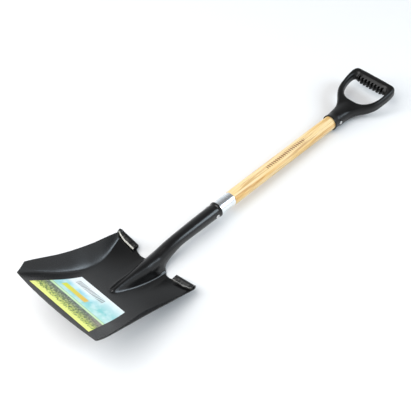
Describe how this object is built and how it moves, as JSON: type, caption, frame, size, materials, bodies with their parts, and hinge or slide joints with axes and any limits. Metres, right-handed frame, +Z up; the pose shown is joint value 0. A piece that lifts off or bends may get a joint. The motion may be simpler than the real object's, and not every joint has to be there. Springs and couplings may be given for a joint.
{
  "type": "garden spade",
  "caption": "Square-mouthed garden spade with a pressed black steel pan, a round wooden shaft and a ribbed plastic D-grip.",
  "frame": {"origin": "centre of the bounding box's bottom face, on the ground under the shaft", "axes": "+X along the tool towards the grip, +Y across the pan, +Z up, out of the pan's hollow side"},
  "size_m": [1.075, 0.2588, 0.1311],
  "materials": {
    "blade_paint": "satin charcoal powder coat on pressed steel",
    "wood": "sanded pale hardwood with a thin clear varnish",
    "zinc": "bright zinc-plated sheet",
    "grip_plastic": "fine moulded satin polypropylene",
    "rivet_steel": "plain steel, slightly dulled",
    "label_print": null
  },
  "bodies": {
    "root": {"blade": "blade_paint", "shaft": "wood", "ferrule": "zinc", "grip": "grip_plastic", "socket_rivet": "rivet_steel", "socket_rivet_washer": "rivet_steel", "grip_rivet": "rivet_steel", "grip_rivet_washer": "rivet_steel", "label": "label_print"}
  },
  "joints": []
}
